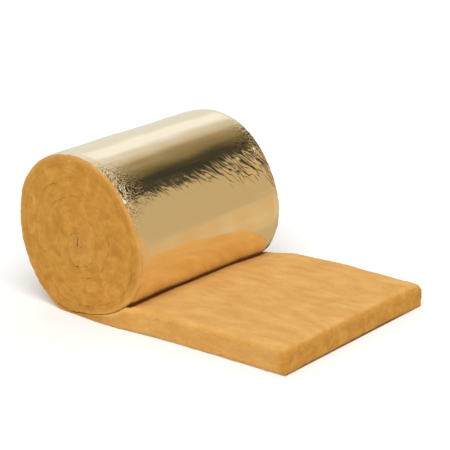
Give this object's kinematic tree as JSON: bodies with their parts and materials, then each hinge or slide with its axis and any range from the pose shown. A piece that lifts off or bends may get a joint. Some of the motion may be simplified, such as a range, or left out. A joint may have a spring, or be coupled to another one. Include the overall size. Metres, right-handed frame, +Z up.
{
  "type": "insulation roll",
  "caption": "Roll of foil-faced glass wool blanket lying on its side, partly rolled out, with a free end flat on the floor.",
  "frame": {"origin": "middle of the footprint, on the floor", "axes": "+X along the rolled-out free end, away from the roll; +Y along the roll's axis; +Z up"},
  "size_m": [1.8228, 1.2, 0.886],
  "materials": {
    "glass_wool": "soft fibrous golden-orange glass wool, matte",
    "foil": "bright smooth aluminium foil with fine creases"
  },
  "bodies": {
    "root": {"glass_wool_blanket": "glass_wool", "foil_facing": "foil"}
  },
  "joints": []
}
